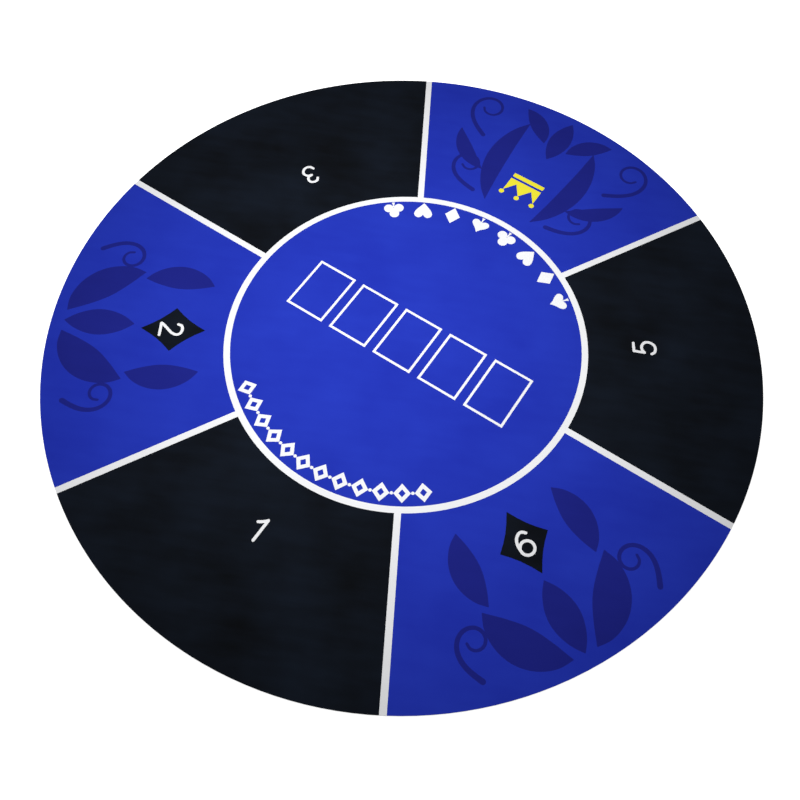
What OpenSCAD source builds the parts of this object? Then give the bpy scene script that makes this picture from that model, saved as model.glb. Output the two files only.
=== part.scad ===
// Round card-table mat, 1.2 m across: one soft sheet of foamed rubber with a
// printed cloth face bonded to it. It lies flat in use and folds face in:
// each outer flap turns over on to its panel, then the mat closes on its
// middle. The sheet is cut at the lines of its bends into stiff bands, so that
// each band can turn on its neighbour. X runs along the folds, +Y points to
// the dealer's seat and +Z is up, with the origin at the middle of the
// underside. All sizes are in millimetres and all angles in degrees.

/* [Sheet] */
// Diameter of the mat across its cut edge
mat_d = 1200; // [900:10:1500]
// Thickness of the foamed rubber backing
rubber_t = 2.5; // [1.5:0.1:5]
// Thickness of the printed cloth face
cloth_t = 0.5; // [0.3:0.1:1.2]

/* [Flap folds] */
// Distance that a folded flap's edge stops short of the middle fold
flap_stop = 48; // [20:1:150]
// Space left between the two printed faces in a closed flap fold
flap_gap = 5.5; // [3:0.5:12]

/* [Middle fold] */
// Space left between the two flaps when the whole mat is closed
pack_clearance = 1.5; // [0.5:0.5:10]

/* [Cuts] */
// Width of the cut between two neighbouring bands
slit = 0.2; // [0.1:0.05:0.4]
// Facets round the cut edge
edge_facets = 180; // [60:12:360]

/* [Hidden] */

rubber_colour = "#161616";
cloth_colour = "#2634b4";

mat_r = mat_d / 2;
sheet_t = rubber_t + cloth_t;

// Number of bend lines in a flap fold and in the middle fold
flap_bends = 3;
centre_bends = 5;

// A fold of n bend lines turns by 180 / n at each line. Its bands then stand
// round half of a regular polygon, and this is the pitch of the lines that
// leaves the wanted gap between the two faces.
function bend_pitch(gap, n) = gap * tan(90 / n);

// Bend line i of a fold, counted from 0 at the front, with the fold's middle at y
function bend_line(y, pitch, n, i) = y + (i - (n - 1) / 2) * pitch;

// Both folded flaps lie between the panels, each with the gap in its own fold
centre_gap = 2 * (flap_gap + sheet_t) + pack_clearance;
centre_pitch = bend_pitch(centre_gap, centre_bends);
function centre_line(i) = bend_line(0, centre_pitch, centre_bends, i);

// A folded flap reaches back from its fold by its own depth, to the stop
flap_fold_y = (mat_r + centre_line(centre_bends - 1) + flap_stop) / 2;
flap_pitch = bend_pitch(flap_gap, flap_bends);
function front_line(i) = bend_line(-flap_fold_y, flap_pitch, flap_bends, i);
function back_line(i) = bend_line(flap_fold_y, flap_pitch, flap_bends, i);

// Everything beyond the outermost bend lines runs to the cut edge
front_edge = -mat_r - slit;
back_edge = mat_r + slit;

// The part of a round layer between two bend lines, half a slit in from each
module band(from_y, to_y, bottom_z, layer_t) {
    intersection() {
        translate([0, 0, bottom_z])
            cylinder(h = layer_t, r = mat_r, $fn = edge_facets);
        translate([-mat_r, from_y + slit / 2, bottom_z])
            cube([mat_d, to_y - from_y - slit, layer_t]);
    }
}

module rubber_band(from_y, to_y) {
    color(rubber_colour) band(from_y, to_y, 0, rubber_t);
}

module cloth_band(from_y, to_y) {
    color(cloth_colour) band(from_y, to_y, rubber_t, cloth_t);
}

module front_flap_rubber() { rubber_band(front_edge, front_line(0)); }
module front_flap_cloth() { cloth_band(front_edge, front_line(0)); }

module front_bend_rubber(i) { rubber_band(front_line(i - 1), front_line(i)); }
module front_bend_cloth(i) { cloth_band(front_line(i - 1), front_line(i)); }

module front_panel_rubber() {
    rubber_band(front_line(flap_bends - 1), centre_line(0));
}
module front_panel_cloth() {
    cloth_band(front_line(flap_bends - 1), centre_line(0));
}

module centre_bend_rubber(i) { rubber_band(centre_line(i - 1), centre_line(i)); }
module centre_bend_cloth(i) { cloth_band(centre_line(i - 1), centre_line(i)); }

module back_panel_rubber() {
    rubber_band(centre_line(centre_bends - 1), back_line(0));
}
module back_panel_cloth() {
    cloth_band(centre_line(centre_bends - 1), back_line(0));
}

module back_bend_rubber(i) { rubber_band(back_line(i - 1), back_line(i)); }
module back_bend_cloth(i) { cloth_band(back_line(i - 1), back_line(i)); }

module back_flap_rubber() { rubber_band(back_line(flap_bends - 1), back_edge); }
module back_flap_cloth() { cloth_band(back_line(flap_bends - 1), back_edge); }

front_flap_rubber();
front_flap_cloth();
front_bend_rubber(1);  // front_bend_1_rubber
front_bend_cloth(1);  // front_bend_1_cloth
front_bend_rubber(2);  // front_bend_2_rubber
front_bend_cloth(2);  // front_bend_2_cloth
front_panel_rubber();
front_panel_cloth();
centre_bend_rubber(1);  // centre_bend_1_rubber
centre_bend_cloth(1);  // centre_bend_1_cloth
centre_bend_rubber(2);  // centre_bend_2_rubber
centre_bend_cloth(2);  // centre_bend_2_cloth
centre_bend_rubber(3);  // centre_bend_3_rubber
centre_bend_cloth(3);  // centre_bend_3_cloth
centre_bend_rubber(4);  // centre_bend_4_rubber
centre_bend_cloth(4);  // centre_bend_4_cloth
back_panel_rubber();
back_panel_cloth();
back_bend_rubber(1);  // back_bend_1_rubber
back_bend_cloth(1);  // back_bend_1_cloth
back_bend_rubber(2);  // back_bend_2_rubber
back_bend_cloth(2);  // back_bend_2_cloth
back_flap_rubber();
back_flap_cloth();
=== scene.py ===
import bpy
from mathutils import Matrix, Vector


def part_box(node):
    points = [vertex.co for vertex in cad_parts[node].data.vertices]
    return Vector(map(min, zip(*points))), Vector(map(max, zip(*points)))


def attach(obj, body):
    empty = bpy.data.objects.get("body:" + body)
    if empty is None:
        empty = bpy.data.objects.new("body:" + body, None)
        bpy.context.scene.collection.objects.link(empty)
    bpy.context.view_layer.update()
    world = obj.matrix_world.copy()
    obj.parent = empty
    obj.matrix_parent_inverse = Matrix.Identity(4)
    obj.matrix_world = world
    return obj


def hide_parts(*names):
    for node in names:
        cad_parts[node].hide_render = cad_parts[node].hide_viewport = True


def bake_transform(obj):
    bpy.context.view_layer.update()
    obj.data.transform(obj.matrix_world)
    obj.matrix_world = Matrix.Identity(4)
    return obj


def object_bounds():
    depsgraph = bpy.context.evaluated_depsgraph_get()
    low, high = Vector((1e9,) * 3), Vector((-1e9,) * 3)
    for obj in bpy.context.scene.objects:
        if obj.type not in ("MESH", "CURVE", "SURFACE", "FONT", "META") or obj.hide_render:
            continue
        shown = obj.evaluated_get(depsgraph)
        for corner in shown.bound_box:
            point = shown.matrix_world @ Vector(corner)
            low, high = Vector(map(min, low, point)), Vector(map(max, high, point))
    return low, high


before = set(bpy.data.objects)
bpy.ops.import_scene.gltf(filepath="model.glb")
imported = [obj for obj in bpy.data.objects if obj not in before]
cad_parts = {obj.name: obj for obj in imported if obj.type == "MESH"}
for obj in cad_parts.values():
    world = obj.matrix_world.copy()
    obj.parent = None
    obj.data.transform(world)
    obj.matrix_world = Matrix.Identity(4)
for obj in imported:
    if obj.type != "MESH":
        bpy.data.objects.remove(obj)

"""Looks of a soft, round card-table mat: a printed cloth face on foamed rubber.

The print is dye in the cloth, so each colour is a flush piece of the face, cut from one
round blank with stencils. The blank lies on a thin undyed ground cloth, and that lies on
the rubber. Everything is in metres, and drawings are in millimetres: X runs along the
folds, +Y points to the dealer's seat and +Z is up.
"""

import logging
import math
from dataclasses import dataclass, field
from enum import Enum
from typing import Callable, Iterable, Sequence

import bpy
from mathutils import Matrix, Vector

CAD_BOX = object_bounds()
MM = 0.001
TOUCH = 1e-6  # closer than this counts as touching
RIM_FACETS = 360
CREASE_DEG = 40  # edges sharper than this stay crisp
log = logging.getLogger("card_mat")

Point = tuple[float, float]
Outline = list[Point]
Knot = tuple[float, float, float]


# ---------------------------------------------------------------- the lie of the cloth


class Zone(Enum):
    """A stretch of the mat that crosses one fold only."""

    FRONT = "front"
    MIDDLE = "middle"
    BACK = "back"


@dataclass(frozen=True)
class Fold:
    """A soft fold between two bodies.

    Attributes:
        zone: The stretch of the mat that this fold crosses.
        near: The body that the fold starts from.
        far: The body that turns.
        start_y: Where the bend starts, at the near body's edge.
        end_y: Where the bend ends, at the far body's edge.
        low_y: Lower end of the zone.
        high_y: Upper end of the zone.
        slices: How many straight slices the bend is drawn with.
    """

    zone: Zone
    near: str
    far: str
    start_y: float
    end_y: float
    low_y: float
    high_y: float
    slices: int = 20

    def score_lines(self) -> list[float]:
        """Gives the y of evenly spaced lines across the bend, its two ends included."""
        step = (self.end_y - self.start_y) / self.slices
        return [self.start_y + step * i for i in range(self.slices + 1)]

    def reaches(self, piece: bpy.types.Object) -> bool:
        """Says whether the piece reaches into the bend."""
        low, high = y_span(piece)
        first, last = sorted((self.start_y, self.end_y))
        return low < last - TOUCH and high > first + TOUCH

    def side_of(self, piece: bpy.types.Object) -> str:
        """Names the body that carries a piece which stays clear of the bend."""
        low, high = y_span(piece)
        beyond = ((low + high) / 2 - self.start_y) * (self.end_y - self.start_y) > 0
        return self.far if beyond else self.near

    def hang(self, piece: bpy.types.Object) -> None:
        """Makes a finished piece ready: one that reaches into the bend has its place baked into its
        mesh, and one clear of it rides on its side's body.
        """
        if self.reaches(piece):
            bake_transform(piece)
        else:
            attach(piece, self.side_of(piece))


@dataclass(frozen=True)
class Sheet:
    """Heights, radius and folds of the mat, read from the frame.

    Attributes:
        radius: Radius of the cut edge.
        rubber_top: Height of the top of the rubber.
        ground_top: Height of the top of the undyed ground cloth.
        face: Height of the printed face.
        folds: The three folds, front to back.
    """

    radius: float
    rubber_top: float
    ground_top: float
    face: float
    folds: tuple[Fold, ...]

    @classmethod
    def from_frame(cls, zone_edge: float = 120 * MM, ground_share: float = 0.6) -> "Sheet":
        """Reads the heights, the radius and the bodies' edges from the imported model.

        Args:
            zone_edge: Distance of the two zone lines from the middle of the mat.
            ground_share: Share of the cloth's thickness that isn't dyed.

        Returns:
            The mat's lie.
        """
        front_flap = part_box("front_flap_cloth")
        front_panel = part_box("front_panel_cloth")
        back_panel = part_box("back_panel_cloth")
        back_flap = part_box("back_flap_cloth")
        rubber_top, face = front_flap[0].z, front_flap[1].z
        radius = (CAD_BOX[1][0] - CAD_BOX[0][0]) / 2
        folds = (
            Fold(Zone.FRONT, "front_panel", "front_flap", front_panel[0].y, front_flap[1].y,
                 -radius, -zone_edge),
            Fold(Zone.MIDDLE, "front_panel", "back_panel", front_panel[1].y, back_panel[0].y,
                 -zone_edge, zone_edge),
            Fold(Zone.BACK, "back_panel", "back_flap", back_panel[1].y, back_flap[0].y,
                 zone_edge, radius),
        )
        ground_top = rubber_top + ground_share * (face - rubber_top)
        return cls(radius, rubber_top, ground_top, face, folds)


def y_span(piece: bpy.types.Object) -> tuple[float, float]:
    """Gives a piece's lowest and highest y."""
    values = [v.co.y for v in piece.data.vertices]
    return min(values), max(values)


# ---------------------------------------------------------------- drawing outlines


def placed(outline: Outline, x: float, y: float, turn_deg: float) -> Outline:
    """Turns an outline about its own origin and moves that origin to (x, y)."""
    c, s = math.cos(math.radians(turn_deg)), math.sin(math.radians(turn_deg))
    return [(x + u * c - v * s, y + u * s + v * c) for u, v in outline]


def on_seat(outline: Outline, reach: float, seat_deg: float) -> Outline:
    """Places an outline at a distance from the middle, its top towards the middle."""
    angle = math.radians(seat_deg)
    return placed(outline, reach * math.cos(angle), reach * math.sin(angle), seat_deg + 90)


def mirrored(outline: Outline) -> Outline:
    """Mirrors an outline left to right."""
    return [(-x, y) for x, y in reversed(outline)]


def disc(x: float, y: float, radius: float, count: int = 24) -> Outline:
    """Draws a round dot."""
    turns = (2 * math.pi * i / count for i in range(count))
    return [(x + radius * math.cos(t), y + radius * math.sin(t)) for t in turns]


def box(x: float, y: float, width: float, height: float) -> Outline:
    """Draws a rectangle about its middle."""
    w, h = width / 2, height / 2
    return [(x - w, y - h), (x + w, y - h), (x + w, y + h), (x - w, y + h)]


def lozenge(width: float, height: float, hollow: float = 0.0) -> Outline:
    """Draws a diamond about its middle, with its sides bowed inwards by hollow."""
    w, h = width / 2, height / 2
    depth = 2 * hollow / math.hypot(w, h)
    corners = [(w, 0.0), (0.0, h), (-w, 0.0), (0.0, -h)]
    outline: Outline = []
    for (ax, ay), (bx, by) in zip(corners, corners[1:] + corners[:1]):
        outline.append((ax, ay))
        for share in (0.25, 0.5, 0.75):
            bow = 4 * share * (1 - share) * depth
            x, y = ax + (bx - ax) * share, ay + (by - ay) * share
            outline.append((x * (1 - bow), y * (1 - bow)))
    return outline


def curve_between(p: Sequence[Sequence[float]], share: float) -> tuple[float, ...]:
    """Gives a point on a smooth curve through the middle two of four points."""
    t, t2, t3 = share, share**2, share**3
    return tuple(
        0.5 * (2 * b + (c - a) * t + (2 * a - 5 * b + 4 * c - d) * t2
               + (3 * b - a - 3 * c + d) * t3)
        for a, b, c, d in zip(*p)
    )


def round_cap(x: float, y: float, width: float, heading: float) -> Outline:
    """Draws the points of a half circle round a stroke's end, from its left to its right."""
    turns = [heading + math.pi / 2 * (1 - k / 3) for k in range(1, 6)]
    return [(x + width / 2 * math.cos(t), y + width / 2 * math.sin(t)) for t in turns]


def ribbon(knots: Sequence[Knot], round_ends: bool = False, steps: int = 8) -> Outline:
    """Draws a stroke of changing width along a smooth path.

    Args:
        knots: Places on the path, each x, y and the stroke's width there.
        round_ends: Whether the stroke ends in half circles.
        steps: How many pieces each stretch between two knots is drawn with.

    Returns:
        The stroke's outline.
    """
    first = tuple(2 * a - b for a, b in zip(knots[0], knots[1]))
    last = tuple(2 * a - b for a, b in zip(knots[-1], knots[-2]))
    row = [first, *knots, last]
    path = [curve_between(row[i : i + 4], s / steps)
            for i in range(len(knots) - 1) for s in range(steps)]
    path.append(knots[-1])
    left, right, headings = [], [], []
    for i, (x, y, width) in enumerate(path):
        (ax, ay, _), (bx, by, _) = path[max(i - 1, 0)], path[min(i + 1, len(path) - 1)]
        heading = math.atan2(by - ay, bx - ax)
        nx, ny = -math.sin(heading) * width / 2, math.cos(heading) * width / 2
        left.append((x + nx, y + ny))
        right.append((x - nx, y - ny))
        headings.append(heading)
    if not round_ends:
        return left + right[::-1]
    end = round_cap(*path[-1], headings[-1])
    start = round_cap(*path[0], headings[0] + math.pi)
    return left + end + right[::-1] + start


def loop(knots: Sequence[tuple[float, float, bool]], steps: int = 6) -> Outline:
    """Draws a closed outline through its knots, smooth but for the ones marked as corners."""
    outline: Outline = []
    count = len(knots)
    for i in range(count):
        a, b, c, d = (knots[(i + k) % count] for k in (-1, 0, 1, 2))
        before = (2 * b[0] - c[0], 2 * b[1] - c[1]) if b[2] else a[:2]
        after = (2 * c[0] - b[0], 2 * c[1] - b[1]) if c[2] else d[:2]
        row = (before, b[:2], c[:2], after)
        outline += [curve_between(row, s / steps) for s in range(steps)]
    return outline


def two_sided(half: Sequence[tuple[float, float, bool]]) -> Outline:
    """Draws a closed outline from its right half, which runs from the top to the bottom."""
    other = [(-x, y, corner) for x, y, corner in reversed(half) if x > 0]
    return loop([*half, *other])


# ---------------------------------------------------------------- cutting cloth


class Cut(Enum):
    """What a stencil does to the cloth that it stands in."""

    KEEP_INSIDE = "INTERSECT"
    KEEP_OUTSIDE = "DIFFERENCE"
    ADD = "UNION"


def select_only(piece: bpy.types.Object) -> None:
    """Deselects everything, then selects one object and makes it the active one."""
    bpy.ops.object.select_all(action="DESELECT")
    piece.select_set(True)
    bpy.context.view_layer.objects.active = piece


def named(name: str) -> bpy.types.Object:
    """Names the active object and its mesh."""
    piece = bpy.context.active_object
    piece.name = name
    piece.data.name = name
    return piece


def copy_of(piece: bpy.types.Object, name: str) -> bpy.types.Object:
    """Copies a piece with a mesh of its own."""
    select_only(piece)
    bpy.ops.object.duplicate(linked=False)
    return named(name)


def joined(pieces: Sequence[bpy.types.Object], name: str) -> bpy.types.Object:
    """Joins several solids into one object."""
    select_only(pieces[0])
    for piece in pieces[1:]:
        piece.select_set(True)
    if len(pieces) > 1:
        bpy.ops.object.join()
    return named(name)


def prism(outline: Outline, low: float, high: float) -> bpy.types.Object:
    """Stands an outline drawn in millimetres up into a closed solid.

    Args:
        outline: The outline, in either direction.
        low: Height of the solid's underside.
        high: Height of its top.

    Returns:
        The solid.
    """
    bpy.ops.object.select_all(action="DESELECT")
    bpy.ops.mesh.primitive_circle_add(vertices=len(outline), radius=1, fill_type="NGON")
    solid = named("stencil")
    for vertex, (x, y) in zip(solid.data.vertices, outline):
        vertex.co = (x * MM, y * MM, low)
    bpy.ops.object.mode_set(mode="EDIT")
    bpy.ops.mesh.select_all(action="SELECT")
    bpy.ops.mesh.extrude_region_move(TRANSFORM_OT_translate={"value": (0, 0, high - low)})
    bpy.ops.mesh.select_all(action="SELECT")
    bpy.ops.mesh.normals_make_consistent(inside=False)
    bpy.ops.object.mode_set(mode="OBJECT")
    return solid


def cut_with(piece: bpy.types.Object, stencil: bpy.types.Object, cut: Cut) -> None:
    """Cuts a piece along the walls of a closed solid that stands through it."""
    modifier = piece.modifiers.new("stencil", "BOOLEAN")
    modifier.object = stencil
    modifier.operation = cut.value
    modifier.solver = "EXACT"
    modifier.use_self = True
    select_only(piece)
    bpy.ops.object.modifier_apply(modifier=modifier.name)


def discard(piece: bpy.types.Object) -> None:
    """Removes a tool that has done its work."""
    bpy.data.objects.remove(piece, do_unlink=True)


def loose_parts(piece: bpy.types.Object) -> list[bpy.types.Object]:
    """Takes a piece apart into its separate solids."""
    select_only(piece)
    bpy.ops.object.mode_set(mode="EDIT")
    bpy.ops.mesh.select_all(action="SELECT")
    bpy.ops.mesh.separate(type="LOOSE")
    bpy.ops.object.mode_set(mode="OBJECT")
    return list(bpy.context.selected_objects)


def score(piece: bpy.types.Object, lines: Iterable[float]) -> None:
    """Scores a piece along lines of constant y, so that it can bend there."""
    select_only(piece)
    bpy.ops.object.mode_set(mode="EDIT")
    for y in lines:
        bpy.ops.mesh.select_all(action="SELECT")
        bpy.ops.mesh.bisect(plane_co=(0, y, 0), plane_no=(0, 1, 0), threshold=1e-7)
    bpy.ops.object.mode_set(mode="OBJECT")


@dataclass(frozen=True)
class Stencils:
    """Makes stencils that stand through a layer of cloth.

    Attributes:
        low: Height where the stencils start, under the cloth.
        high: Height where they end, over it.
    """

    low: float
    high: float

    def solid(self, outlines: Sequence[Outline]) -> bpy.types.Object:
        """Makes one stencil with several openings, which may overlap."""
        return joined([prism(o, self.low, self.high) for o in outlines], "stencil")

    def hoops(self, pairs: Sequence[tuple[Outline, Outline]]) -> bpy.types.Object:
        """Makes one stencil with several lines that close on themselves.

        Args:
            pairs: The outer and the inner outline of each line.

        Returns:
            The stencil.
        """
        outer = self.solid([pair[0] for pair in pairs])
        spare = (self.high - self.low) / 4
        inner = joined([prism(p[1], self.low - spare, self.high + spare) for p in pairs], "core")
        cut_with(outer, inner, Cut.KEEP_OUTSIDE)
        discard(inner)
        return outer


# ---------------------------------------------------------------- finishes


@dataclass(frozen=True)
class Dye:
    """A colour of the printed face.

    Attributes:
        name: What the colour is called on the pieces.
        slot: The part's material slot; not used.
        colour: Linear colour of the nap brushed one way: the lighter end of the nap's
            painted sheen and of its random tone.
        shade: Linear colour of the nap brushed the other way: painted shade, the darker
            end of the nap's painted sheen and of its random tone.
    """

    name: str
    slot: str
    colour: tuple[float, float, float]
    shade: tuple[float, float, float]


class Ink(Enum):
    """The dyes of the print."""

    # Each dye's two colours are the lighter and darker ends of the nap's painted sheen and shade,
    # mixed with random tone.
    BLUE = Dye("blue", "printed_cloth", (0.017, 0.038, 0.445), (0.012, 0.026, 0.375))
    NAVY = Dye("navy", "navy_print", (0.012, 0.017, 0.226), (0.010, 0.014, 0.190))
    BLACK = Dye("black", "black_print", (0.0060, 0.0095, 0.0175), (0.0018, 0.0022, 0.0030))
    WHITE = Dye("white", "white_print", (0.86, 0.87, 0.89), (0.80, 0.80, 0.82))
    YELLOW = Dye("yellow", "yellow_print", (0.88, 0.80, 0.045), (0.80, 0.72, 0.035))


class Nodes:
    """Builds a material's nodes from left to right."""

    def __init__(self, name: str) -> None:
        """Starts a material with a plain surface shader."""
        self.material = bpy.data.materials.new(name)
        self.material.use_nodes = True
        self.tree = self.material.node_tree
        self.surface = self.tree.nodes["Principled BSDF"]
        self.place = self.tree.nodes.new("ShaderNodeTexCoord").outputs["Object"]

    def link(self, out: bpy.types.NodeSocket, into: bpy.types.NodeSocket) -> None:
        """Links two sockets."""
        self.tree.links.new(out, into)

    def stretched(self, scale: tuple[float, float, float], turn_deg: float) -> bpy.types.NodeSocket:
        """Gives the place on the mat, turned about Z and then stretched."""
        node = self.tree.nodes.new("ShaderNodeMapping")
        node.vector_type = "TEXTURE"
        node.inputs["Rotation"].default_value[2] = math.radians(turn_deg)
        node.inputs["Scale"].default_value = scale
        self.link(self.place, node.inputs["Vector"])
        return node.outputs["Vector"]

    def noise(self, place: bpy.types.NodeSocket, scale: float,
              detail: float) -> bpy.types.NodeSocket:
        """Gives soft noise with a number of lumps to the metre."""
        node = self.tree.nodes.new("ShaderNodeTexNoise")
        node.inputs["Scale"].default_value = scale
        node.inputs["Detail"].default_value = detail
        self.link(place, node.inputs["Vector"])
        return node.outputs["Fac"]

    def spread(self, value: bpy.types.NodeSocket, low: float, high: float) -> bpy.types.NodeSocket:
        """Stretches the range from low to high over 0 to 1, and clips the rest."""
        node = self.tree.nodes.new("ShaderNodeMapRange")
        node.inputs["From Min"].default_value = low
        node.inputs["From Max"].default_value = high
        self.link(value, node.inputs["Value"])
        return node.outputs["Result"]

    def sum_of(self, a: bpy.types.NodeSocket, b: bpy.types.NodeSocket,
               share: float) -> bpy.types.NodeSocket:
        """Gives a mixed with b, which counts by share."""
        node = self.tree.nodes.new("ShaderNodeMix")
        node.inputs[0].default_value = share
        self.link(a, node.inputs[2])
        self.link(b, node.inputs[3])
        return node.outputs[0]

    def dyed(self, share: bpy.types.NodeSocket, a: Sequence[float], b: Sequence[float]) -> None:
        """Colours the surface between a and b."""
        node = self.tree.nodes.new("ShaderNodeMix")
        node.data_type = "RGBA"
        self.link(share, node.inputs[0])
        node.inputs[6].default_value = (*a, 1)
        node.inputs[7].default_value = (*b, 1)
        self.link(node.outputs[2], self.surface.inputs["Base Color"])

    def embossed(self, height: bpy.types.NodeSocket, depth: float, strength: float) -> None:
        """Lets light play on a relief of the given depth in metres."""
        node = self.tree.nodes.new("ShaderNodeBump")
        node.inputs["Strength"].default_value = strength
        node.inputs["Distance"].default_value = depth
        self.link(height, node.inputs["Height"])
        self.link(node.outputs["Normal"], self.surface.inputs["Normal"])

    def set(self, **values: float) -> None:
        """Sets the shader's own sockets, with spaces in their names written as underscores."""
        for name, value in values.items():
            self.surface.inputs[name.replace("_", " ")].default_value = value


@dataclass(frozen=True)
class SuedeCloth:
    """Brushed polyester cloth, dyed right through its nap.

    Attributes:
        sheen_and_tone_clouds: Lumps to the metre of painted sheen and shade: lighter and darker
            patches where hands have brushed the nap, mixed with random tone.
        strokes: Lumps to the metre across the brush strokes, painted sheen of the
            strokes mixed with random tone.
        fibres: Lumps to the metre of the nap itself.
        nap: Height of the nap's relief.
    """

    sheen_and_tone_clouds: float = 7.0
    strokes: float = 60.0
    fibres: float = 1400.0
    nap: float = 0.25 * MM

    def material(self, dye: Dye) -> bpy.types.Material:
        """Makes the cloth in one dye."""
        nodes = Nodes(f"suede_{dye.name}")
        # Painted sheen and shade: the noise patches and brush strokes mix each dye between a
        # lighter and a darker colour, which stands in for light on the brushed nap, mixed with
        # random tone. The fibres are the nap's own grain.
        sheen_and_tone_clouds = nodes.spread(nodes.noise(nodes.place, self.sheen_and_tone_clouds, 3), 0.34, 0.68)
        brushed = nodes.noise(nodes.stretched((5, 1, 1), 24), self.strokes, 2)
        strokes = nodes.spread(brushed, 0.35, 0.65)
        fibres = nodes.noise(nodes.place, self.fibres, 4)
        brushed_sheen_and_tone = nodes.sum_of(sheen_and_tone_clouds, strokes, 0.25)
        tone = nodes.sum_of(brushed_sheen_and_tone, nodes.spread(fibres, 0.3, 0.7), 0.2)
        nodes.dyed(tone, dye.colour, dye.shade)
        nodes.embossed(fibres, self.nap, 0.35)
        nodes.set(Roughness=0.86, Specular_IOR_Level=0.05, Sheen_Weight=0.012, Sheen_Roughness=0.6)
        return nodes.material


@dataclass(frozen=True)
class UndyedCloth:
    """The ground of the cloth under the dye, pale and close-knit."""

    knit: float = 900.0

    def material(self) -> bpy.types.Material:
        """Makes the undyed cloth."""
        nodes = Nodes("undyed_ground")
        knit = nodes.noise(nodes.stretched((1, 2.5, 1), 0), self.knit, 2)
        nodes.dyed(nodes.spread(knit, 0.35, 0.65), (0.42, 0.43, 0.46), (0.33, 0.34, 0.37))
        nodes.embossed(knit, 0.2 * MM, 0.4)
        nodes.set(Roughness=0.9, Specular_IOR_Level=0.2)
        return nodes.material


@dataclass(frozen=True)
class FoamRubber:
    """Foamed rubber with a fine non-slip relief on its underside."""

    pips: float = 420.0
    pores: float = 1900.0

    def material(self) -> bpy.types.Material:
        """Makes the rubber."""
        nodes = Nodes("foam_rubber")
        pips = nodes.tree.nodes.new("ShaderNodeTexVoronoi")
        pips.inputs["Scale"].default_value = self.pips
        pips.inputs["Randomness"].default_value = 0.15
        nodes.link(nodes.place, pips.inputs["Vector"])
        pores = nodes.noise(nodes.place, self.pores, 3)
        dust = nodes.spread(nodes.noise(nodes.place, 9, 4), 0.4, 0.7)
        relief = nodes.sum_of(nodes.spread(pips.outputs["Distance"], 0.6, 0.1), pores, 0.35)
        tone = nodes.sum_of(dust, pores, 0.4)
        nodes.dyed(tone, (0.0045, 0.0045, 0.0050), (0.0100, 0.0100, 0.0105))
        nodes.embossed(relief, 0.35 * MM, 0.5)
        nodes.set(Roughness=0.72, Specular_IOR_Level=0.12)
        return nodes.material


# ---------------------------------------------------------------- the print


@dataclass(frozen=True)
class SeatLines:
    """The white ring round the middle and the six lines between the seats.

    Attributes:
        ring: Radius of the middle of the ring's line.
        width: Width of the lines.
        seats: Number of seats.
        middle: The ring's middle, which the print has a little off the mat's.
        hub: Where the lines would meet.
        facets: Straight pieces in the ring.
    """

    ring: float = 301.0
    width: float = 10.8
    seats: int = 6
    middle: Point = (1.2, -0.4)
    hub: Point = (5.7, 2.8)
    facets: int = RIM_FACETS

    def stencil(self, stencils: Stencils, beyond: float) -> bpy.types.Object:
        """Makes the stencil of the ring and the lines, which end beyond the cut edge."""
        half = self.width / 2
        rims = [disc(*self.middle, self.ring + side * half, self.facets) for side in (1, -1)]
        star = stencils.hoops([(rims[0], rims[1])])
        bars = []
        for i in range(self.seats):
            turn = 2 * math.pi * i / self.seats
            start = self.ring - self.hub[0] * math.cos(turn) - self.hub[1] * math.sin(turn)
            bar = box((start + beyond) / 2, 0, beyond - start, self.width)
            bars.append(placed(bar, *self.hub, math.degrees(turn)))
        spokes = stencils.solid(bars)
        cut_with(star, spokes, Cut.ADD)
        discard(spokes)
        return star


@dataclass(frozen=True)
class CardRow:
    """Five outlined places for the shared cards.

    Attributes:
        count: Number of places.
        width: Width between the middles of a place's long lines.
        length: Length between the middles of its short lines.
        line: Width of the line.
        pitch: Distance from one place to the next.
        shift: How far the row's middle is off the mat's middle, along the row.
    """

    count: int = 5
    width: float = 70.0
    length: float = 98.5
    line: float = 4.2
    pitch: float = 89.6
    shift: float = 2.0

    def stencil(self, stencils: Stencils) -> bpy.types.Object:
        """Makes the stencil of all the places."""
        pairs = []
        for i in range(self.count):
            x = self.shift + (i - (self.count - 1) / 2) * self.pitch
            pairs.append(tuple(
                box(x, 0, self.width + grow, self.length + grow) for grow in (self.line, -self.line)
            ))
        return stencils.hoops(pairs)


class Suit(Enum):
    """The four card suits, in the order that they go round."""

    CLUB = 0
    HEART = 1
    DIAMOND = 2
    SPADE = 3


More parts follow.
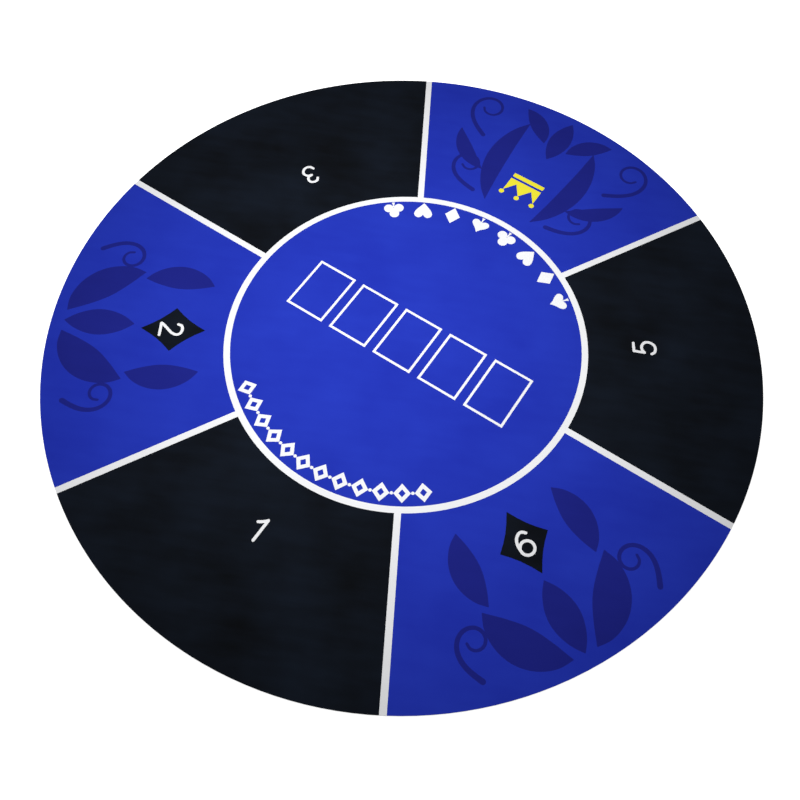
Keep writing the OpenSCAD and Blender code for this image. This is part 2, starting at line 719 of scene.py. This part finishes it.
@dataclass(frozen=True)
class SuitArc:
    """Card suits in an arc inside the ring, on the dealer's side.

    Attributes:
        reach: Distance of each suit from the mat's middle.
        pitch_deg: Turn from one suit to the next.
        middle_deg: Direction of the arc's middle.
        rounds: How many times the four suits come.
    """

    reach: float = 276.0
    pitch_deg: float = 11.22
    middle_deg: float = 89.2
    rounds: int = 2

    def outlines_of(self, suit: Suit) -> list[Outline]:
        """Draws one suit about its middle, its top up."""
        stem = [(1.2, -6, True), (1.4, -12, False), (2.8, -17, True), (-2.8, -17, True),
                (-1.4, -12, False), (-1.2, -6, True)]
        if suit is Suit.CLUB:
            return [disc(0, 8, 8.8), disc(-9.2, -4.2, 8.8), disc(9.2, -4.2, 8.8),
                    disc(0, 0, 4.5), loop(stem)]
        if suit is Suit.HEART:
            return [two_sided([(0, 9.5, True), (3.4, 14.3, False), (8.6, 16.4, False),
                               (14.2, 13.6, False), (16.4, 7.6, False), (13.6, 0, False),
                               (7.6, -8, False), (0, -16.8, True)])]
        if suit is Suit.DIAMOND:
            return [lozenge(28, 36)]
        blade = two_sided([(0, 17, True), (5.2, 10, False), (12.2, 3.6, False),
                           (16.0, -2.6, False), (14.0, -8.6, False), (8.4, -10.4, False),
                           (3.4, -8.6, False), (0, -5.5, True)])
        return [blade, loop(stem)]

    def stencil(self, stencils: Stencils) -> bpy.types.Object:
        """Makes the stencil of the whole arc."""
        count = self.rounds * len(Suit)
        outlines = []
        for i in range(count):
            seat_deg = self.middle_deg + ((count - 1) / 2 - i) * self.pitch_deg
            suit = list(Suit)[i % len(Suit)]
            outlines += [on_seat(o, self.reach, seat_deg) for o in self.outlines_of(suit)]
        return stencils.solid(outlines)


@dataclass(frozen=True)
class Frieze:
    """A plain band of open lozenges and dots inside the ring, by the first seat.

    Attributes:
        reach: Distance of the band from the mat's middle.
        count: Number of lozenges.
        start_deg: Direction of the first lozenge.
        end_deg: Direction of the last one.
        width: Width of a lozenge along the band.
        height: Its height across the band.
        line: Width of its line.
        dot: Radius of the dots between the lozenges.
    """

    reach: float = 275.0
    count: int = 12
    start_deg: float = 233.0
    end_deg: float = 309.2
    width: float = 27.5
    height: float = 32.0
    line: float = 6.2
    dot: float = 2.8

    def stencil(self, stencils: Stencils) -> bpy.types.Object:
        """Makes the stencil of the band."""
        step = (self.end_deg - self.start_deg) / (self.count - 1)
        seats = [self.start_deg + step * i for i in range(self.count)]
        inset = 2 * self.line * math.hypot(self.width, self.height) / self.height
        rims = (
            lozenge(self.width, self.height),
            lozenge(self.width - inset, self.height - inset * self.height / self.width),
        )
        band = stencils.hoops([
            tuple(on_seat(rim, self.reach, seat) for rim in rims) for seat in seats
        ])
        dot = disc(0, 0, self.dot, 12)
        dots = stencils.solid([on_seat(dot, self.reach, seat + step / 2) for seat in seats[:-1]])
        return joined([band, dots], "stencil")


@dataclass(frozen=True)
class SeatNumber:
    """A seat's number, drawn with a round pen, its top towards the middle.

    Attributes:
        digit: The number.
        seat_deg: Direction of the number from the mat's middle.
        reach: Distance from the mat's middle.
        pen: Width of the pen.
    """

    digit: int
    seat_deg: float
    reach: float = 399.0
    pen: float = 4.8

    def strokes(self) -> list[list[Point]]:
        """Gives the pen's paths about the number's middle."""
        return {
            1: [[(4.5, 18.5), (4.5, -18.5)], [(-7.5, 8.5), (-2, 12), (4.5, 18)]],
            2: [
                [(-10, 10.5), (-7.5, 16.2), (-0.5, 18.7), (7.5, 16), (10, 9.5), (7, 2), (-0.5, -6),
                 (-8, -13.5), (-11.5, -18)],
                [(-11.5, -18.3), (12, -18.3)],
            ],
            3: [
                [(-9, 12.5), (-6, 17.3), (0, 18.8), (6.5, 16), (8.3, 10), (5.5, 4), (-1.5, 1.8)],
                [(-1.5, 1.8), (6.5, 0), (10.6, -7.5), (7, -15.5), (0, -18.6), (-7, -16.5),
                 (-10.5, -11)],
            ],
            5: [
                [(9, 18.3), (-6.5, 18.3)],
                [(-6.5, 18.3), (-9, 0.5)],
                [(-9, 0.5), (-3.5, 4.2), (3.5, 4.4), (10, -0.5), (11, -8.5), (6.5, -16),
                 (-1, -18.6), (-8, -16.5), (-11.5, -11.5)],
            ],
            6: [
                [(9.5, 14.5), (5, 18.2), (-0.5, 18.4), (-7.5, 13), (-11.3, 3.5), (-11.3, -7)],
            ],
        }[self.digit]

    def stencil(self, stencils: Stencils) -> bpy.types.Object:
        """Makes the number's stencil: its pen strokes, and the bowl of a six."""
        pens = [
            on_seat(ribbon([(x, y, self.pen) for x, y in path], round_ends=True, steps=5),
                    self.reach, self.seat_deg)
            for path in self.strokes()
        ]
        strokes = stencils.solid(pens)
        if self.digit == 6:
            rims = [on_seat(disc(0, -7, 11.3 + side * self.pen / 2, 48), self.reach, self.seat_deg)
                    for side in (1, -1)]
            bowl = stencils.hoops([(rims[0], rims[1])])
            cut_with(strokes, bowl, Cut.ADD)
            discard(bowl)
        return strokes

    def patch(self, length: float = 108.0, width: float = 84.0, hollow: float = 3.2) -> Outline:
        """Draws the dark diamond that some numbers stand on, its long way along the radius."""
        return on_seat(lozenge(width, length, hollow), self.reach - 3, self.seat_deg)


@dataclass(frozen=True)
class Coronet:
    """A plain three-pointed coronet that marks the dealer's seat.

    Attributes:
        reach: Distance of its middle from the mat's middle.
        seat_deg: Direction of the dealer's seat.
        width: Width at its foot.
        height: Height without the balls.
        band: Height of the solid band at its foot.
        ball: Radius of the ball on each point.
    """

    reach: float = 394.0
    seat_deg: float = 90.0
    width: float = 64.0
    height: float = 46.0
    band: float = 9.0
    ball: float = 5.0

    def outlines(self) -> list[Outline]:
        """Draws the coronet: a band, a zigzag of three equal points and a ball on each."""
        w, foot, top = self.width / 2, -self.height / 2, self.height / 2
        base, valley = foot + self.band + 5, foot + self.height * 0.5
        zigzag = [(-w, base), (w, base), (w, top), (w / 2, valley), (0, top), (-w / 2, valley),
                  (-w, top)]
        balls = [disc(x, top + self.ball, self.ball, 16) for x in (-w, 0, w)]
        shapes = [box(0, foot + self.band / 2, self.width, self.band), zigzag, *balls]
        return [on_seat(s, self.reach, self.seat_deg) for s in shapes]


@dataclass(frozen=True)
class Stem:
    """One stroke of the scrollwork, in a seat's own frame: x across, y away from the rim.

    Attributes:
        x: Where it starts.
        y: Where it starts.
        heading: The way that it sets off, in degrees.
        length: Its length.
        width: Its greatest width.
        bend: How far it turns on its way, in degrees.
    """

    x: float
    y: float
    heading: float
    length: float
    width: float
    bend: float

    def leaf(self, count: int = 9) -> Outline:
        """Draws it as a plain leaf that bends evenly and is pointed at both ends."""
        return self.stroke(count, 1, lambda s: max(1.0, self.width * math.sin(math.pi * s) ** 0.8))

    def scroll(self, count: int = 22) -> Outline:
        """Draws it as a thinning tendril that curls up more and more towards its end."""
        return self.stroke(count, 2, lambda s: self.width * (1 - 0.5 * s), round_ends=True)

    def stroke(self, count: int, power: int, width_at: Callable[[float], float],
               round_ends: bool = False) -> Outline:
        """Draws the stroke through evenly spaced knots.

        Args:
            count: Number of knots.
            power: 1 for an even bend, 2 for one that tightens towards the end.
            width_at: Gives the width at a share of the length.
            round_ends: Whether it ends in half circles.

        Returns:
            The stroke's outline.
        """
        x, y, step = self.x, self.y, self.length / (count - 1)
        knots = []
        for i in range(count):
            share = i / (count - 1)
            knots.append((x, y, width_at(share)))
            turn = math.radians(self.heading + self.bend * (share + 0.5 / (count - 1)) ** power)
            x, y = x + step * math.cos(turn), y + step * math.sin(turn)
        return ribbon(knots, round_ends, steps=4)


@dataclass(frozen=True)
class Scrollwork:
    """Plain leaves and curling tendrils in a darker blue, the same kind in every blue seat.

    Attributes:
        reach: Distance of the drawings' origin from the mat's middle.
    """

    reach: float = 450.0

    def dealer(self) -> list[Outline]:
        """Draws the dealer's seat: a sheaf that is the same on its left and right."""
        half = [
            Stem(48, 118, -60, 215, 40, -48).leaf(),
            Stem(90, 60, -12, 112, 30, -52).leaf(),
            Stem(24, -62, -58, 92, 34, 34).leaf(),
            Stem(78, 112, -8, 190, 9, -400).scroll(),
            Stem(132, -14, -28, 215, 9, -400).scroll(),
        ]
        middle = [Stem(0, -30, -90, 104, 40, 0).leaf()]
        outlines = middle + half + [mirrored(o) for o in half]
        return [on_seat(o, self.reach, 90) for o in outlines]

    def side(self, seat_deg: float, flipped: bool) -> list[Outline]:
        """Draws a side seat: a fan of three leaves, two more beside it and two tendrils."""
        outlines = [
            Stem(-20, -128, 152, 150, 58, -52).leaf(),
            Stem(0, -128, 90, 118, 50, 0).leaf(),
            Stem(20, -128, 28, 150, 58, 52).leaf(),
            Stem(-84, 112, -112, 122, 46, 36).leaf(),
            Stem(84, 112, -68, 122, 46, -36).leaf(),
            Stem(150, -96, 62, 170, 9, 400).scroll(),
            Stem(-150, -96, 118, 170, 9, -400).scroll(),
        ]
        if flipped:
            outlines = [mirrored(o) for o in outlines]
        return [on_seat(o, self.reach, seat_deg) for o in outlines]


@dataclass
class PrintedFace:
    """The dyed nap of the cloth, cut colour by colour from one round blank.

    Attributes:
        sheet: The mat's lie.
        cloth: The finish.
        lines: The ring and the lines.
        cards: The card places.
        suits: The arc of suits.
        frieze: The band of lozenges.
        coronet: The dealer's mark.
        scrolls: The leaves and tendrils.
        made: The finished pieces, by zone.
        stencils: Makes the stencils for this cloth.
        dyes: The cloth's material in each dye.
    """

    sheet: Sheet
    cloth: SuedeCloth = SuedeCloth()
    lines: SeatLines = SeatLines()
    cards: CardRow = CardRow()
    suits: SuitArc = SuitArc()
    frieze: Frieze = Frieze()
    coronet: Coronet = Coronet()
    scrolls: Scrollwork = Scrollwork()
    made: dict[Zone, list[bpy.types.Object]] = field(init=False)
    stencils: Stencils = field(init=False)
    dyes: dict[Ink, bpy.types.Material] = field(init=False)

    def build(self) -> None:
        """Cuts the print and hangs every piece: the ones clear of a bend ride on a body."""
        tall = self.sheet.face - self.sheet.rubber_top
        self.stencils = Stencils(self.sheet.ground_top - tall, self.sheet.face + tall)
        self.dyes = {ink: self.cloth.material(ink.value) for ink in Ink}
        self.made = {zone: [] for zone in Zone}
        blank = prism(disc(0, 0, self.sheet.radius / MM, self.lines.facets),
                      self.sheet.ground_top, self.sheet.face)
        star = self.lines.stencil(self.stencils, self.sheet.radius / MM + 20)
        self.finish(self.taken(blank, star), "seat_lines", Ink.WHITE)
        fields = self.fields(blank)
        self.middle(fields["middle"])
        self.seats(fields)

    def taken(self, cloth: bpy.types.Object, stencil: bpy.types.Object) -> bpy.types.Object:
        """Cuts a stencil's shape out of a cloth, and gives the cut-out.

        Args:
            cloth: The cloth, which keeps what is outside the stencil.
            stencil: The stencil, which is used up.

        Returns:
            The cut-out.
        """
        piece = copy_of(cloth, "cut_out")
        cut_with(piece, stencil, Cut.KEEP_INSIDE)
        cut_with(cloth, stencil, Cut.KEEP_OUTSIDE)
        discard(stencil)
        return piece

    def fields(self, blank: bpy.types.Object) -> dict[str, bpy.types.Object]:
        """Takes the blank apart into the middle and the six seats, by where each part is."""
        fields = {}
        step = 360 / self.lines.seats
        for part in loose_parts(blank):
            corners = [v.co for v in part.data.vertices]
            centre = sum(corners, Vector()) / len(corners)
            if all(c.xy.length < self.lines.ring * MM for c in corners):
                name = "middle"
            else:
                around = math.degrees(math.atan2(centre.y, centre.x)) % 360
                name = f"seat_{round(around / step - 0.5) * round(step) + round(step / 2)}"
            fields[name] = part
        return fields

    def middle(self, cloth: bpy.types.Object) -> None:
        """Prints the middle: the card places, the suits and the frieze."""
        motifs = {"card_places": self.cards, "suits": self.suits, "frieze": self.frieze}
        for name, motif in motifs.items():
            self.finish(self.taken(cloth, motif.stencil(self.stencils)), name, Ink.WHITE)
        self.finish(cloth, "middle_field", Ink.BLUE)

    def seats(self, fields: dict[str, bpy.types.Object]) -> None:
        """Prints the six seats: the black ones, the two blue side seats and the dealer's."""
        for seat_deg, mark in ((30, SeatNumber(5, 31.6, 403.5)), (150, SeatNumber(3, 150.4)),
                               (270, SeatNumber(1, 269.7))):
            cloth = fields[f"seat_{seat_deg}"]
            self.number(cloth, mark)
            self.finish(cloth, f"seat_{mark.digit}_field", Ink.BLACK)
        for seat_deg, mark, flipped in ((210, SeatNumber(2, 210.9, 396.5), True),
                                        (330, SeatNumber(6, 330.4), False)):
            cloth, seat = fields[f"seat_{seat_deg}"], f"seat_{mark.digit}"
            patch = self.taken(cloth, self.stencils.solid([mark.patch()]))
            self.number(patch, mark)
            self.finish(patch, f"{seat}_patch", Ink.BLACK)
            leaves = self.stencils.solid(self.scrolls.side(seat_deg, flipped))
            self.finish(self.taken(cloth, leaves), f"{seat}_leaves", Ink.NAVY)
            self.finish(cloth, f"{seat}_field", Ink.BLUE)
        cloth = fields["seat_90"]
        for name, outlines, ink in (("coronet", self.coronet.outlines(), Ink.YELLOW),
                                    ("scrolls", self.scrolls.dealer(), Ink.NAVY)):
            self.finish(self.taken(cloth, self.stencils.solid(outlines)), f"dealer_{name}", ink)
        self.finish(cloth, "dealer_field", Ink.BLUE)

    def number(self, cloth: bpy.types.Object, mark: SeatNumber) -> None:
        """Prints a seat's number."""
        figure = self.taken(cloth, mark.stencil(self.stencils))
        self.finish(figure, f"seat_{mark.digit}_number", Ink.WHITE)

    def finish(self, piece: bpy.types.Object, name: str, ink: Ink) -> None:
        """Splits a print piece by zone, scores its bends, dyes it and hangs it.

        Args:
            piece: The print piece, which is used up.
            name: What its parts are called, before the zone.
            ink: Its dye.
        """
        low, high = y_span(piece)
        for fold in self.sheet.folds:
            if high < fold.low_y + TOUCH or low > fold.high_y - TOUCH:
                continue
            part = zone_part(piece, fold, f"{name}_{fold.zone.value}")
            part.data.materials.clear()
            part.data.materials.append(self.dyes[ink])
            fold.hang(part)
            self.made[fold.zone].append(part)
        discard(piece)


def zone_part(piece: bpy.types.Object, fold: Fold, name: str) -> bpy.types.Object:
    """Copies what a zone holds of a piece, scored for the bend.

    Args:
        piece: The whole piece.
        fold: The fold of the zone.
        name: The copy's name.

    Returns:
        The copy.
    """
    part = copy_of(piece, name)
    wide, tall = 2 * CAD_BOX[1][0], 20 * MM
    low, high = y_span(part)
    if low < fold.low_y - TOUCH or high > fold.high_y + TOUCH:
        middle, depth = (fold.low_y + fold.high_y) / 2 / MM, (fold.high_y - fold.low_y) / MM
        window = prism(box(0, middle, wide / MM, depth), -tall, tall)
        cut_with(part, window, Cut.KEEP_INSIDE)
        discard(window)
    if fold.reaches(part):
        score(part, fold.score_lines())
    select_only(part)
    bpy.ops.object.shade_smooth_by_angle(angle=math.radians(CREASE_DEG))
    return part


@dataclass
class GroundCloth:
    """The undyed ground of the cloth, which the nap stands on, in three stretches.

    Attributes:
        sheet: The mat's lie.
        finish: The undyed cloth.
    """

    sheet: Sheet
    finish: UndyedCloth = UndyedCloth()

    def area(self, fold: Fold) -> float:
        """Gives the flat area of the round cloth between a zone's two lines."""
        r = self.sheet.radius

        def below(y: float) -> float:
            """Gives the area of the round cloth below a line."""
            t = max(-1.0, min(1.0, y / r))
            return r * r * (math.pi / 2 + math.asin(t) + t * math.sqrt(1 - t * t))

        return below(fold.high_y) - below(fold.low_y)

    def build(self, printed: dict[Zone, list[bpy.types.Object]]) -> None:
        """Cuts the ground cloth, hides the cloth nodes that it stands for, and logs how many print
        pieces each stretch carries.

        Args:
            printed: The print pieces, by zone.
        """
        dye = self.finish.material()
        rim = disc(0, 0, self.sheet.radius / MM, RIM_FACETS)
        whole = prism(rim, self.sheet.rubber_top, self.sheet.ground_top)
        for fold in self.sheet.folds:
            part = zone_part(whole, fold, f"ground_cloth_{fold.zone.value}")
            part.data.materials.append(dye)
            fold.hang(part)
            for node in cloth_nodes(fold):
                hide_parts(node)
            self.area(fold)
            log.info("ground cloth %s: %d print pieces", fold.zone.value, len(printed[fold.zone]))
        discard(whole)


def bodies_across(fold: Fold) -> list[str]:
    """Names the fold's two bodies and the narrow bands between them."""
    first, last = sorted((fold.start_y, fold.end_y))
    names = []
    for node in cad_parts:
        body, _, layer = node.rpartition("_")
        if layer != "rubber":
            continue
        low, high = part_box(node)
        if first - 1e-5 < low.y and high.y < last + 1e-5:
            names.append(body)
    return [fold.near, *names, fold.far]


def cloth_nodes(fold: Fold) -> list[str]:
    """Names the cloth nodes that a zone's cloth stands for."""
    return [f"{body}_cloth" for body in bodies_across(fold)]


@dataclass
class RubberBacking:
    """The rubber: four wide stretches as they are, and three bends, scored into slices.

    Attributes:
        sheet: The mat's lie.
        finish: The rubber.
    """

    sheet: Sheet
    finish: FoamRubber = FoamRubber()

    def build(self) -> None:
        """Dresses the wide stretches and makes the bends."""
        rubber = self.finish.material()
        wide = {f"{body}_rubber" for fold in self.sheet.folds for body in (fold.near, fold.far)}
        for node in sorted(wide):
            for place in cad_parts[node].material_slots:
                place.material = rubber
        radius = self.sheet.radius / MM
        for fold in self.sheet.folds:
            first, last = sorted((fold.start_y, fold.end_y))
            bend = prism(disc(0, 0, radius, RIM_FACETS), 0, self.sheet.rubber_top)
            strip = box(0, (first + last) / 2 / MM, 3 * radius, (last - first) / MM)
            window = prism(strip, -10 * MM, 10 * MM)
            cut_with(bend, window, Cut.KEEP_INSIDE)
            discard(window)
            score(bend, fold.score_lines()[1:-1])
            select_only(bend)
            bpy.ops.object.shade_smooth_by_angle(angle=math.radians(CREASE_DEG))
            bend.name = bend.data.name = f"rubber_bend_{fold.zone.value}"
            bend.data.materials.append(rubber)
            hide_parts(*[f"{b}_rubber" for b in bodies_across(fold)[1:-1]])
            fold.hang(bend)
            log.info("%s: %.1f mm wide", bend.name, (last - first) / MM)


@dataclass(frozen=True)
class Studio:
    """A pale floor, soft lights and the camera.

    Attributes:
        azimuth: Where the camera stands round the mat, in degrees.
        elevation: How high it stands, in degrees.
        roll: How far it is tilted, in degrees.
        distance: Its distance from what it looks at.
        aim: What it looks at.
        lens: Its focal length.
        shift: Its shift.
        glow: How brightly the pale floor shines by itself.
    """

    azimuth: float = 29.60
    elevation: float = 63.61
    roll: float = 3.70
    distance: float = 1.3930
    aim: tuple[float, float, float] = (0.1025, -0.0730, 0.003)
    lens: float = 38.471
    shift: Point = (-0.0425, 0.0027)
    glow: float = 0.88

    def camera(self) -> None:
        """Sets up the camera."""
        az, el, roll = (math.radians(a) for a in (self.azimuth, self.elevation, self.roll))
        back = Vector((math.sin(az) * math.cos(el), -math.cos(az) * math.cos(el), math.sin(el)))
        right = Vector((0, 0, 1)).cross(back).normalized()
        up = back.cross(right)
        tilted = right * math.cos(roll) + up * math.sin(roll)
        up = up * math.cos(roll) - right * math.sin(roll)
        turn = Matrix((tilted, up, back)).transposed().to_euler()
        bpy.ops.object.camera_add(location=Vector(self.aim) + back * self.distance, rotation=turn)
        camera = bpy.context.active_object
        camera.name = "camera"
        camera.data.lens = self.lens
        camera.data.sensor_width = 36
        camera.data.shift_x, camera.data.shift_y = self.shift
        camera.data.clip_start, camera.data.clip_end = 0.01, 50
        bpy.context.scene.camera = camera

    def floor(self) -> None:
        """Lays the floor."""
        bpy.ops.mesh.primitive_plane_add(size=60, location=(0, 0, -0.0005))
        floor = named("floor")
        nodes = Nodes("pale_floor")
        grain = nodes.spread(nodes.noise(nodes.place, 3, 2), 0.3, 0.7)
        nodes.dyed(grain, (0.90, 0.90, 0.90), (0.88, 0.88, 0.88))
        nodes.set(Roughness=0.9, Specular_IOR_Level=0.1, Emission_Strength=self.glow)
        nodes.surface.inputs["Emission Color"].default_value = (1, 1, 1, 1)
        floor.data.materials.append(nodes.material)

    def backdrop(self) -> None:
        """Puts a pale dome round everything, which is seen but sheds no light."""
        bpy.ops.mesh.primitive_uv_sphere_add(segments=48, ring_count=24, radius=20)
        dome = named("backdrop")
        nodes = Nodes("pale_backdrop")
        haze = nodes.spread(nodes.noise(nodes.place, 0.1, 1), 0.3, 0.7)
        nodes.dyed(haze, (0.02, 0.02, 0.02), (0.03, 0.03, 0.03))
        nodes.set(Roughness=1.0, Specular_IOR_Level=0.0, Emission_Strength=1.0)
        nodes.surface.inputs["Emission Color"].default_value = (1, 1, 1, 1)
        dome.data.materials.append(nodes.material)
        dome.visible_diffuse = dome.visible_glossy = dome.visible_shadow = False

    def light(self, name: str, place: Vector, aim: Vector, size: float, power: float) -> None:
        """Hangs a soft square light that points at a place and isn't seen itself."""
        turn = (aim - place).to_track_quat("-Z", "Y").to_euler()
        bpy.ops.object.light_add(type="AREA", location=place, rotation=turn)
        lamp = bpy.context.active_object
        lamp.name = name
        lamp.data.shape = "SQUARE"
        lamp.data.size = size
        lamp.data.energy = power
        lamp.visible_camera = False

    def build(self) -> None:
        """Sets everything up."""
        scene = bpy.context.scene
        bpy.ops.object.select_all(action="DESELECT")
        self.camera()
        self.floor()
        self.backdrop()
        self.light("key_light", Vector((-0.1, 0.01, 0.78)), Vector((-0.1, 0.01, 0)), 0.8, 9.6)
        world = bpy.data.worlds.new("studio")
        world.use_nodes = True
        world.node_tree.nodes["Background"].inputs["Color"].default_value = (1, 1, 1, 1)
        world.node_tree.nodes["Background"].inputs["Strength"].default_value = 0.15
        scene.world = world
        scene.view_settings.view_transform = "Standard"


def main() -> None:
    """Builds the mat and the studio."""
    logging.basicConfig(level=logging.INFO, format="%(name)s: %(message)s")
    sheet = Sheet.from_frame()
    RubberBacking(sheet).build()
    face = PrintedFace(sheet)
    face.build()
    GroundCloth(sheet).build(face.made)
    for zone, pieces in face.made.items():
        log.info("%s: %s", zone.value, ", ".join(p.name for p in pieces))
    Studio().build()


if __name__ == "__main__":
    main()
